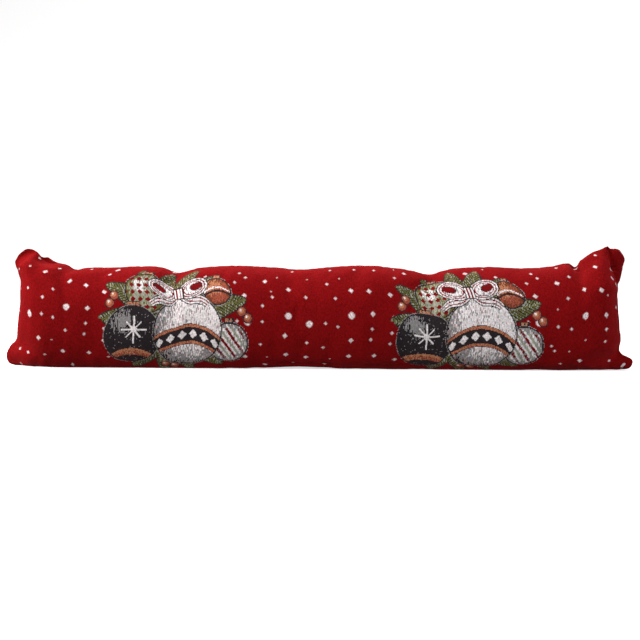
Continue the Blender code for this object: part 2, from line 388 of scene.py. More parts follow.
def filled(piece):
    """Draws the cloth taut between its held seams, and keeps the small folds that come of it,
    with a share of the swelling."""
    mesh = piece.data
    start = triples(mesh.vertices, "co")
    shift = pressed_out(piece) - start
    broad = shift.copy()
    ends = np.array(mesh.edge_keys)
    count = np.bincount(ends.ravel(), minlength=len(start))[:, None]
    for _ in range(BROAD_STEPS):
        total = np.zeros_like(broad)
        np.add.at(total, ends[:, 0], broad[ends[:, 1]])
        np.add.at(total, ends[:, 1], broad[ends[:, 0]])
        broad = total / count
    shift = FOLDS * (shift - broad) + SWELLING * broad
    reach = np.linalg.norm(shift, axis=1, keepdims=True)
    shift *= np.minimum(1.0, MOST_MOVED / np.maximum(reach, HARDLY))
    mesh.vertices.foreach_set("co", (start + shift).ravel())
    mesh.update()


def subdivided(piece):
    """One smooth subdivision, applied."""
    step = piece.modifiers.new("finer", "SUBSURF")
    step.levels = step.render_levels = 1
    graph = bpy.context.evaluated_depsgraph_get()
    shown = piece.evaluated_get(graph)
    mesh = bpy.data.meshes.new_from_object(shown, preserve_all_data_layers=True, depsgraph=graph)
    piece.modifiers.clear()
    piece.data = mesh


# The cloth's relief over its loose filling. The back's lumps are those of a place far along.
BACK_SHIFT = 3.0
EVEN_FROM_SEAM = 0.030
LUMPS = (
    # height, upright stretch, shortest, longest, seed
    (0.0006, 0.7, 0.030, 0.075, 3),
    (0.0002, 0.5, 0.010, 0.022, 5),
)
PUCKER_HEIGHT, PUCKER_REACH, PUCKER_SLANT = 0.0005, 0.009, 1.3
PUCKER_SHORTEST, PUCKER_LONGEST, PUCKER_SEED = 0.007, 0.018, 8
GROOVE_DEPTH, GROOVE_WIDTH = 0.0013, 0.0017

# Creases pressed into the cloth or raised from it, by where they seem to run on an upright plane
# through the front
CREASES = (
    # across, height, across, height, width, raised
    (-404, 142, -383, 158, 3.0, 1.4),
    (-381, 151, -360, 145, 4.0, -2.0),
    (-415, 32, -407, 31, 2.0, -1.6),
    (-402, 38, -384, 8, 9.0, -1.2),
    (-200, 121, -184, 130, 3.0, -1.6),
    (-45, 7.5, 26, 7, 2.0, -1.4),
    (401, 170, 408, 141, 3.0, -3.2),
    (408, 141, 414, 119, 3.0, -2.4),
    (412, 160, 417, 140, 6.0, 3.0),
    (345, 147, 361, 139, 2.2, -3.4),
    (342, 149, 350, 147, 4.0, 1.4),
    (361, 139, 366, 124, 5.0, -1.0),
    (398, 108, 400, 36, 18.0, 8.0),
    (417, 28, 404, 8, 5.0, -1.4),
)

# Where the ears' lobes and the top's humps are drawn out, on the same plane
PULLS = (
    # across, height, reach, to the right, back, up
    (401, 166, 10.0, 0.0, 0.0, 3.8),
    (407, 162, 4.5, 0.0, 0.0, 3.0),
    (414, 159, 8.0, 1.0, 0.0, 4.6),
    (420, 152, 8.0, 2.4, 0.0, 1.0),
    (421, 141, 6.0, -2.0, 0.0, 0.0),
    (419, 107, 10.0, -2.4, 0.0, 0.0),
    (421, 82, 26.0, -2.4, 0.0, 0.0),
    (364, 146, 6.0, -1.0, 0.0, 3.4),
    (350, 148, 6.0, 1.5, 0.0, 1.6),
    (148, 131, 16.0, 0.0, 0.0, 3.0),
    (172, 132, 10.0, 0.0, 0.0, 1.2),
    (108, 139, 16.0, 0.0, 0.0, -1.4),
    (-398, 165, 12.0, 0.0, 0.0, 1.8),
    (-368, 154, 5.0, 0.0, 6.0, 0.0),
    (-373, 154, 3.0, 0.0, 0.0, -1.2),
    (-368, 152, 4.0, 0.0, 0.0, 1.2),
    (-338, 142, 12.0, 0.0, 0.0, 1.8),
)

# The underside's shallow arch, where the middle is less full
ARCH_AT, ARCH_REACH, ARCH_RISE, ARCH_HEIGHT = -0.020, 0.050, 0.0030, 0.016


def ripples(across, up, shortest, longest, seed, count=48):
    """A gentle relief of about -1 to 1 with no repeat, the same each time for one seed."""
    chance = np.random.default_rng(seed)
    way = chance.uniform(0, 2 * math.pi, count)
    size = 2 * math.pi / chance.uniform(shortest, longest, count)
    phase = chance.uniform(0, 2 * math.pi, count)
    total = np.zeros_like(across)
    for w, s, p in zip(way, size, phase):
        total += np.cos((across * math.cos(w) + up * math.sin(w)) * s + p)
    return total / math.sqrt(2 * count)


def seen_from_camera(points):
    """Where the points seem to stand on an upright plane through the front."""
    sight = points - EYE
    return sight * ((-HALF_DEPTH - EYE[1]) / sight[:, 1:2]) + EYE


def relief(side, along, up, edge):
    """How far the cloth stands out or in: lumps of filling, puckers at the seam and its groove."""
    inside = np.clip(edge / EVEN_FROM_SEAM, 0, 1)
    raised = np.zeros_like(edge)
    for height, stretch, shortest, longest, seed in LUMPS:
        raised += height * inside * ripples(along + side, up * stretch, shortest, longest, seed)
    slanted = along + PUCKER_SLANT * up
    puckers = ripples(slanted, 0 * up, PUCKER_SHORTEST, PUCKER_LONGEST, PUCKER_SEED)
    raised += PUCKER_HEIGHT * np.exp(-edge / PUCKER_REACH) * puckers
    return raised - GROOVE_DEPTH * bump(edge, GROOVE_WIDTH)


def detailed(piece):
    """The cloth's relief, its creases, its drawn-out lobes and the arch of its underside."""
    mesh = piece.data
    points, normals = triples(mesh.vertices, "co"), triples(mesh.vertex_normals, "vector")
    along, up, edge = triples(mesh.attributes["cloth"].data, "vector").T
    side = np.where(points[:, 1] < 0, 0.0, BACK_SHIFT)
    points += relief(side, along, up, edge)[:, None] * normals

    seen = seen_from_camera(points)[:, (0, 2)]
    facing = np.einsum("ij,ij->i", points - EYE, normals) < 0
    for x0, z0, x1, z1, width, height in CREASES:
        start, way = np.array((x0, z0)) * MM, np.array((x1 - x0, z1 - z0)) * MM
        share = np.clip((seen - start) @ way / (way @ way), 0, 1)
        gap = np.linalg.norm(seen - start - share[:, None] * way, axis=1)
        points += (height * MM * facing * bump(gap, width * MM))[:, None] * normals
    for x0, z0, reach, *moved in PULLS:
        gap = np.linalg.norm(seen - np.array((x0, z0)) * MM, axis=1)
        points += bump(gap, reach * MM)[:, None] * np.array(moved) * MM
    low = np.clip(1 - points[:, 2] / ARCH_HEIGHT, 0, 1)
    points[:, 2] = np.maximum(points[:, 2], 0.0)
    points[:, 2] += ARCH_RISE * bump(points[:, 0] - ARCH_AT, ARCH_REACH) * low
    mesh.vertices.foreach_set("co", points.ravel())
    mesh.update()


# The woven picture's cell, its repeat along the cloth, and the sizes of its dots
CELL = 0.0011
REPEAT = 0.398
TINY, SMALL, MEDIUM, LARGE = 0.0015, 0.0025, 0.0036, 0.0046

# Dots in one repeat, by where they seem to stand on an upright plane through the front
DOTS = {
    # radius: (across, height)
    TINY: (
        (-49, 127), (-8, 124), (110, 138), (37, 126), (-57, 108), (-63, 18), (23, 16), (232, 139),
    ),
    SMALL: (
        (-101, 133), (-92, 127), (-107, 120), (-61, 141), (-28, 135), (24, 137), (57, 138),
        (84, 137), (112, 127), (19, 118), (-55, 101), (-9, 100), (-69, 89), (32, 99), (-104, 67),
        (-69, 66), (18, 64), (34, 60), (82, 57), (109, 52), (80, 42), (-72, 35), (-7, 38), (14, 32),
        (107, 37), (126, 25), (-27, 11), (250, 128), (130, 138),
    ),
    MEDIUM: (
        (-66, 122), (125, 133), (-33, 110), (-94, 103), (53, 110), (78, 109), (106, 104), (83, 78),
        (111, 72), (-39, 47), (53, 41), (-93, 18), (-37, 21), (-9, 18), (49, 19), (85, 21),
        (113, 15), (-66, 8), (16, 9), (208, 133),
    ),
    LARGE: ((-33, 75), (53, 76), (-89, 66), (-4, 64)),
}

# Dots under the base, by their places on the cloth
UNDER_DOTS = {
    # radius: (along the cloth, under the front edge of the base)
    SMALL: ((-60, 16), (26, 12), (64, 7), (118, 6), (196, 10), (262, 7)),
    MEDIUM: ((-104, 9), (-22, 8), (92, 18), (150, 14), (236, 19)),
}

# At the ends the cloth is drawn askew, so the dots there don't follow the repeat
END_DOTS = {
    # radius: (across, height)
    TINY: ((-363, 41), (334, 84), (401, 104), (372, 43), (350, 28)),
    SMALL: (
        (-378, 153), (-407, 139), (-392, 142), (-351, 139), (-395, 113), (-405, 111), (-360, 111),
        (-375, 99), (-305, 138), (-280, 131), (-315, 64), (-317, 48), (-289, 56), (-281, 51),
        (-291, 40), (-271, 27), (-283, 17), (-405, 81), (-377, 76), (-361, 72), (-343, 54),
        (-372, 20), (-333, 6), (331, 141), (349, 129), (384, 158), (348, 99), (335, 61), (353, 58),
        (400, 57), (398, 41), (330, 28), (338, 11),
    ),
    MEDIUM: (
        (-370, 135), (-337, 121), (-269, 137), (-314, 116), (-289, 107), (-312, 85), (-286, 76),
        (-310, 23), (-381, 43), (-407, 28), (-396, 23), (-347, 24), (-405, 7), (-372, 6),
        (333, 120), (357, 141), (384, 143), (370, 112), (393, 111), (411, 141), (407, 127),
        (412, 119), (411, 89), (400, 78), (365, 15), (404, 15),
    ),
    LARGE: ((-342, 86), (-393, 77), (372, 76), (423, 10)),
}

# Where the repeat's dots are used, across the upright plane in millimetres
REPEATED = (-251, 327)
# The front edge of the base, up the flat cloth
BASE_EDGE = 0.0255
# The furthest back that the front panel's seen points stand
FRONT_UNTIL = 0.02
NEAREST_POINTS = 4
NEAREST_GAP = 0.0001
FACES_AT_ONCE = 8000


def rows_of(table):
    """A table's places, each with its radius."""
    return [(*place, radius) for radius, places in table.items() for place in places]


def dot_places(points, normals, cloth):
    """The dots' places on the flat cloth and their radii, from where they seem to stand."""
    shifts = (-REPEAT / MM, 0.0, REPEAT / MM)
    dots = rows_of(DOTS)
    charted = [(across + shift, above, radius) for shift in shifts for across, above, radius in dots]
    charted = [row for row in charted if REPEATED[0] < row[0] < REPEATED[1]] + rows_of(END_DOTS)
    facing = np.einsum("ij,ij->i", points - EYE, normals) < 0
    front = facing & (points[:, 1] < FRONT_UNTIL)
    seen, cloth = seen_from_camera(points[front]), cloth[front]
    places = []
    for across, above, radius in charted:
        gaps = np.hypot(seen[:, 0] - across * MM, seen[:, 2] - above * MM)
        near = np.argsort(gaps)[:NEAREST_POINTS]
        share = 1 / (gaps[near] + NEAREST_GAP)
        along, up, _ = (cloth[near] * share[:, None]).sum(axis=0) / share.sum()
        places.append((along, up, radius))
    for shift in shifts:
        for along, under, radius in rows_of(UNDER_DOTS):
            places.append(((along + shift) * MM, BASE_EDGE - under * MM, radius))
    return places


def dotted(piece):
    """Stores in each face's corners the place and radius of the dot nearest to the face."""
    mesh = piece.data
    cloth = triples(mesh.attributes["cloth"].data, "vector")
    points, normals = triples(mesh.vertices, "co"), triples(mesh.vertex_normals, "vector")
    dots = np.array(dot_places(points, normals, cloth))
    corners = np.empty(len(mesh.loops), dtype=np.int32)
    mesh.loops.foreach_get("vertex_index", corners)
    corners = corners.reshape(-1, 4)
    middles = cloth[corners].mean(axis=1)
    nearest = np.empty(len(middles), dtype=int)
    for first in range(0, len(middles), FACES_AT_ONCE):
        part = middles[first : first + FACES_AT_ONCE]
        gaps = np.linalg.norm(part[:, None, :2] - dots[None, :, :2], axis=2) - dots[None, :, 2]
        nearest[first : first + FACES_AT_ONCE] = gaps.argmin(axis=1)
    dots[:, :2] = (np.floor(dots[:, :2] / CELL) + 0.5) * CELL
    attribute = mesh.attributes.new("dot", "FLOAT_VECTOR", "CORNER")
    attribute.data.foreach_set("vector", np.repeat(dots[nearest], 4, axis=0).ravel())


class Field:
    """A number that varies over the cloth, worked out by the material's nodes."""

    def __init__(self, socket):
        self.socket = socket

    def by(self, operation, *others):
        return number(self.socket.id_data, operation, self, *others)

    def __add__(self, other):
        return self.by("ADD", other)

    def __sub__(self, other):
        return self.by("SUBTRACT", other)

    def __mul__(self, other):
        return self.by("MULTIPLY", other)

    def __truediv__(self, other):
        return self.by("DIVIDE", other)

    def __lt__(self, other):
        return self.by("LESS_THAN", other)

    def __gt__(self, other):
        return self.by("GREATER_THAN", other)

    def __abs__(self):
        return self.by("ABSOLUTE")

    def floor(self):
        return self.by("FLOOR")

    def low(self, other):
        return self.by("MINIMUM", other)

    def high(self, other):
        return self.by("MAXIMUM", other)

    def share(self):
        """Held between 0 and 1."""
        return self.low(1.0).high(0.0)

    def wrapped(self, period):
        """What is left over past whole periods, from 0 to the period."""
        return self.by("FLOORED_MODULO", period)

    def centred(self, period):
        """The distance from the middle of its period, with its sign."""
        return self.wrapped(period) - period / 2

    def wave(self, period):
        return (self * (2 * math.pi / period)).by("SINE")


def joined(tree, port, value):
    """Links a field or a socket to a node's port, or sets the port to a plain value."""
    value = value.socket if isinstance(value, Field) else value
    if isinstance(value, bpy.types.NodeSocket):
        tree.links.new(value, port)
    else:
        port.default_value = value


def set_inputs(node, values):
    for name, value in values.items():
        node.inputs[name].default_value = value


def number(tree, operation, *values):
    node = tree.nodes.new("ShaderNodeMath")
    node.operation = operation
    for port, value in zip(node.inputs, values):
        joined(tree, port, value)
    return Field(node.outputs[0])


# The colour sockets of a mix node
MIX_SHARE, MIX_UNDER, MIX_OVER, MIX_RESULT = 0, 6, 7, 2


class Cloth:
    """A woven cloth's material: its places in metres, its cells, and its colour as painted."""

    def __init__(self, name, colour):
        self.material = bpy.data.materials.new(name)
        self.material.use_nodes = True
        self.tree = self.material.node_tree
        self.shader = self.tree.nodes["Principled BSDF"]
        self.along, self.up, _ = self.attribute("cloth")
        self.cell_along = (self.along / CELL).floor()
        self.cell_up = (self.up / CELL).floor()
        self.colour = colour

    def node(self, kind, **settings):
        node = self.tree.nodes.new(kind)
        for key, value in settings.items():
            setattr(node, key, value)
        return node

    def attribute(self, name):
        source = self.node("ShaderNodeAttribute", attribute_name=name)
        parts = self.node("ShaderNodeSeparateXYZ")
        self.tree.links.new(source.outputs["Vector"], parts.inputs[0])
        return [Field(output) for output in parts.outputs]

    def vector(self, x, y, z=0.0):
        node = self.node("ShaderNodeCombineXYZ")
        for port, value in zip(node.inputs, (x, y, z)):
            joined(self.tree, port, value)
        return node.outputs[0]

    def chance(self, x, y, seed=0.0):
        """A number from 0 to 1 that is the same for equal x and y, and random otherwise."""
        node = self.node("ShaderNodeTexWhiteNoise", noise_dimensions="3D")
        self.tree.links.new(self.vector(x, y, seed), node.inputs["Vector"])
        return Field(node.outputs["Value"])

    def noise(self, x, y, scale, detail, seed):
        """Smooth noise from about 0 to 1."""
        node = self.node("ShaderNodeTexNoise", noise_dimensions="3D")
        self.tree.links.new(self.vector(x, y, seed), node.inputs["Vector"])
        node.inputs["Scale"].default_value = scale
        node.inputs["Detail"].default_value = detail
        return Field(node.outputs["Fac"])

    def blend(self, under, over, share):
        node = self.node("ShaderNodeMix", data_type="RGBA")
        joined(self.tree, node.inputs[MIX_SHARE], share)
        joined(self.tree, node.inputs[MIX_UNDER], under)
        joined(self.tree, node.inputs[MIX_OVER], over)
        return node.outputs[MIX_RESULT]

    def paint(self, colour, share):
        self.colour = self.blend(self.colour, colour, share)

    def lit(self, brightness):
        """The painted colour times a number."""
        node = self.node("ShaderNodeVectorMath", operation="SCALE")
        plain = isinstance(self.colour, tuple)
        joined(self.tree, node.inputs[0], self.colour[:3] if plain else self.colour)
        joined(self.tree, node.inputs["Scale"], brightness)
        return node.outputs[0]


# The cloth's colours
RED = (0.213, 0.0032, 0.0042, 1.0)
BACK_RED = (0.195, 0.0028, 0.0040, 1.0)
SNOW = (0.84, 0.72, 0.73, 1.0)
WHITE = (0.83, 0.785, 0.79, 1.0)
PINK = (0.50, 0.24, 0.24, 1.0)
GREY = (0.28, 0.27, 0.27, 1.0)
BLACK = (0.022, 0.021, 0.024, 1.0)
ORANGE = (0.52, 0.215, 0.110, 1.0)
RUST = (0.37, 0.085, 0.052, 1.0)
DEEP_RED = (0.190, 0.0060, 0.0080, 1.0)
BROWN = (0.16, 0.050, 0.022, 1.0)
OLIVE = (0.125, 0.128, 0.040, 1.0)
SAGE = (0.355, 0.365, 0.280, 1.0)

# The light and dark of the cloth's threads, as smooth noise
MOTTLE = {"scale": 420.0, "detail": 3.0, "seed": 2.0}
STREAKS = {"scale": 260.0, "detail": 2.0, "seed": 9.0}
BROAD = {"scale": 26.0, "detail": 2.0, "seed": 4.0}
STREAKS_DRAWN = 3.2
THREAD_SEED = 11.0
MOTTLE_LIGHT, STREAK_LIGHT, BROAD_LIGHT, THREAD_LIGHT, DARKENED = 1.25, 1.10, 0.30, 0.20, 0.425

# The weave's relief, as shares of its depth
THREAD = 0.00058
WARP_RELIEF, WEFT_RELIEF, STREAK_RELIEF, MOTTLE_RELIEF, PICTURE_RELIEF = 0.35, 0.30, 0.8, 0.5, 0.5
RELIEF_SIZE = {"Strength": 0.6, "Distance": 0.0004}

DULL_SHINE = {
    "Roughness": 0.92,
    "Specular IOR Level": 0.03,
    "Sheen Weight": 0.30,
    "Sheen Roughness": 0.45,
    "Sheen Tint": (1.0, 0.05, 0.057, 1.0),
}


def finish(cloth, raised=None):
    """The threads over the colour: their light and dark, their relief and their dull shine."""
    along, up = cloth.along, cloth.up
    mottle = cloth.noise(along, up, **MOTTLE)
    streaks = cloth.noise(along * STREAKS_DRAWN, up, **STREAKS)
    broad = cloth.noise(along, up, **BROAD)
    thread = cloth.chance(cloth.cell_along, cloth.cell_up, THREAD_SEED)
    bright = mottle * MOTTLE_LIGHT + streaks * STREAK_LIGHT + broad * BROAD_LIGHT
    bright = bright + thread * THREAD_LIGHT - DARKENED
    warp = abs(along.wave(2 * THREAD))
    weft = abs((up + (along / THREAD).floor() * (THREAD / 2)).wave(2 * THREAD))
    height = warp * WARP_RELIEF + weft * WEFT_RELIEF + streaks * STREAK_RELIEF
    height = height + mottle * MOTTLE_RELIEF
    if raised is not None:
        height = height + raised * PICTURE_RELIEF
    weave = cloth.node("ShaderNodeBump")
    set_inputs(weave, RELIEF_SIZE)
    joined(cloth.tree, weave.inputs["Height"], height)
    cloth.tree.links.new(weave.outputs["Normal"], cloth.shader.inputs["Normal"])
    joined(cloth.tree, cloth.shader.inputs["Base Color"], cloth.lit(bright))
    set_inputs(cloth.shader, DULL_SHINE)


def plain_back():
    """The back panel's cloth: plain, a darker red."""
    cloth = Cloth("plain_red_cloth", BACK_RED)
    finish(cloth)
    return cloth.material


# The two random draws of the picture's cells: single threads, and short upright streaks of them
STREAK_CELLS, STREAK_STAGGER, STREAK_SEED = 3, 0.5, 5.0
CLUSTER_UP = 0.110

# How much flatter a dot is low on the cloth, and how much taller one is under the base's middle
LOW_CLOTH, LOW_OVER, LOW_FLATTER = 0.088, 0.033, 0.4
TUCKED_CLOTH, TUCKED_OVER, TUCKED_TALLER = 0.046, 0.006, 0.9
MIDDLE_UNTIL, MIDDLE_OVER = 0.37, 0.01

# A dot's shape: a square with its corners cut, more so when it is small, and an uneven edge
DOT_WIDTH, LARGE_FROM, LARGE_CUT, SMALL_CUT = 0.96, 0.0045, 0.74, 0.20
DOT_UNEVEN, DOT_SOFT, DOT_EDGE = 0.0007, 0.0012, 0.35
DOT_INNER, GREY_FROM, GREY_SHARE = 0.5, 0.45, 0.30
DOT_OUTER, PINK_SHARE = 0.84, 0.22


def below(field, limit, over):
    """1 far below the limit and 0 above it, with a slope between them over a length."""
    return ((field - limit) / -over).share()


def white_dots(cloth, a, b, thread):
    """How far each place is covered by a dot, from 0 to 1, and the dots' colour."""
    middle_a, middle_b, radius = cloth.attribute("dot")
    tucked = below(middle_b, TUCKED_CLOTH, TUCKED_OVER)
    tucked = tucked * below(abs(middle_a), MIDDLE_UNTIL, MIDDLE_OVER)
    low = below(middle_b, LOW_CLOTH, LOW_OVER)
    flatter = low * LOW_FLATTER + 1.0 - tucked * TUCKED_TALLER
    across, above = abs(a - middle_a) * DOT_WIDTH, abs(b - middle_b) * flatter
    cut = (radius < LARGE_FROM) * SMALL_CUT + LARGE_CUT
    reach = across.high(above).high((across + above) * cut)
    dot = ((radius - reach - thread * DOT_UNEVEN) / DOT_SOFT + DOT_EDGE).share()
    inner = (reach < radius * DOT_INNER) * (thread > GREY_FROM) * GREY_SHARE
    pale = cloth.blend(SNOW, GREY, inner)
    return dot, cloth.blend(pale, PINK, (reach > radius * DOT_OUTER) * PINK_SHARE)


def tapestry():
    """The front panel's cloth: red, with white dots and the two clusters of baubles."""
    cloth = Cloth("red_tapestry", RED)
    a, b = (cloth.cell_along + 0.5) * CELL, (cloth.cell_up + 0.5) * CELL
    thread = cloth.chance(cloth.cell_along, cloth.cell_up)
    drawn_up = (cloth.cell_up / STREAK_CELLS + thread * STREAK_STAGGER).floor()
    streak = cloth.chance(cloth.cell_along, drawn_up, STREAK_SEED)
    dot, pale = white_dots(cloth, a, b, thread)
    cluster = Cluster(cloth, a.centred(REPEAT), b - CLUSTER_UP, thread, streak)
    cluster.fir_sprigs()
    cluster.berries()
    cluster.orange_bauble()
    cluster.striped_bauble()
    cluster.spotted_bauble()
    cluster.star_bauble()
    cluster.banded_bauble()
    cluster.bow_tails()
    cluster.bow_loops()
    cluster.bow_knot()
    cloth.paint(pale, dot * (cluster.area < 0.5))
    finish(cloth, raised=dot.high(cluster.area))
    return cloth.material


# Fir sprigs, all round the cluster's middle: their lengths, widths and needles
SPRIGS = 13
SPRIG_SEEDS = (3.0, 1.0)
SPRIG_SHORTEST, SPRIG_WIDER, SPRIG_VARIED = 0.070, 0.026, 0.010
SPRIG_TAPER, SPRIG_HALF, SPRIG_RIB = 0.040, 0.0150, 0.0010
SPRIG_EDGE, SPRIG_END_EDGE = 0.0016, 0.0012
NEEDLE_SLANT, NEEDLE_PERIOD, NEEDLE_WIDTH = 1.15, 0.0048, 0.0031

# Berries, in millimetres from the cluster's middle, and their parts' radii
BERRIES = ((-86, 20), (-80, 30), (-6, -63), (6, -66), (104, 2), (96, 10))
BERRY, BERRY_EDGE, BERRY_LIGHT, BERRY_SHINE, BERRY_UNEVEN = 0.0055, 0.0068, 0.0040, 0.0016, 0.0012
BERRY_LIGHT_MM = (0.8, 0.9)

# Baubles, in millimetres: across, up, radius
ORANGE_BAUBLE = (63, 37, 18)
STRIPED_BAUBLE = (79, -30, 25)
SPOTTED_BAUBLE = (-36, 35, 27)
STAR_BAUBLE = (-54, -22, 37)
BANDED_BAUBLE = (22, -15, 46)
# Their lights and shades: across and up in millimetres, unevenness, radius
ORANGE_SHADE = (57, 43, 0.012, 0.0165)
SPOTTED_LIGHT = (-44, 45, 0.009, 0.0120)
STAR_LIGHT = (-68, -3, 0.014, 0.0190)
BANDED_SHADE = (31, -4, 0.026, 0.0545)
BANDED_DARK = (31, -4, 0.022, 0.0680)
# Their bands: the middle's height and half the width
DARK_LINE, WHITE_LINE = (0.0, 0.0013), (0.0048, 0.0013)
BELT, BELT_SHADE = (-0.0205, 0.0046), (-0.0225, 0.0026)
BAND_UP, BAND_HALF, BAND_EDGE = -0.002, 0.0135, (0.0108, 0.0019)
# Their slanting stripes, spots and diamonds, by period and size, and the star
STRIPE_SLANT, STRIPE_PERIOD, RED_STRIPE, SAGE_STRIPE = 0.8, 0.0160, 0.0044, (0.0098, 0.0020)
SPOT_PERIOD, SPOT, DIAMOND_FROM, DIAMOND_PERIOD, DIAMOND = 0.0099, 0.0034, 0.022, 0.0154, 0.0060
STAR_ACROSS, STAR_UP, STAR_MIDDLE = -0.052, -0.014, 0.0055
STAR_LONG_ARMS, STAR_SHORT_ARMS = (0.0012, 0.0175), (0.0013, 0.0105)
# Their outlines, halos, caps and rims
EDGE_MM, HALO_MM, HALO_FROM = 1.6, 2.6, 0.35
CAP_UP_MM, CAP_SHARE, CAP_HALF_HEIGHT = 2.0, 0.20, 0.0036
CAP_EDGE, CAP_EDGE_HALF_HEIGHT, CAP_RIBS, CAP_RIB = 0.0014, 0.0050, 0.0036, -0.0006
RIM_FROM, RIM_RAGGED, ROUNDNESS = 1.04, 0.42, 0.42

# The bow's middle, its parts' heights and its stripes
BOW_ACROSS, TAILS_UP, LOOPS_UP, KNOT_UP = 0.010, 0.037, 0.043, 0.038
TAIL_LENGTH, TAIL_EDGE_LENGTH, TAIL_DROP, TAIL_CUT = 0.040, 0.041, 0.50, 0.5
TAIL_HALF, TAIL_EDGE, TAIL_WAVE, TAIL_SWAY = 0.0052, 0.0066, 0.044, 0.0035
TAIL_STRIPE, TAIL_STRIPE_HALF = 0.0022, 0.0009
LOOP_ASIDE, LOOP_LEAN, LOOP_NARROW = 0.021, (0.93, 0.37), 1.65
LOOP_REACH, LOOP_EDGE, LOOP_STRIPES, STRIPE_HALF = 0.0211, 0.0226, (0.0178, 0.0138), 0.0010
HOLLOW_ASIDE, HOLLOW_SHAPE, HOLLOW, HOLLOW_EDGE = 0.0045, (1.4, 1.5), 0.0092, 0.0106
KNOT, KNOT_EDGE, KNOT_FLATTER, KNOT_STRIPE = 0.0056, 0.0070, 0.8, 0.0026


def band(level, middle, half):
    """Where a level lies in a band."""
    return abs(level - middle) < half


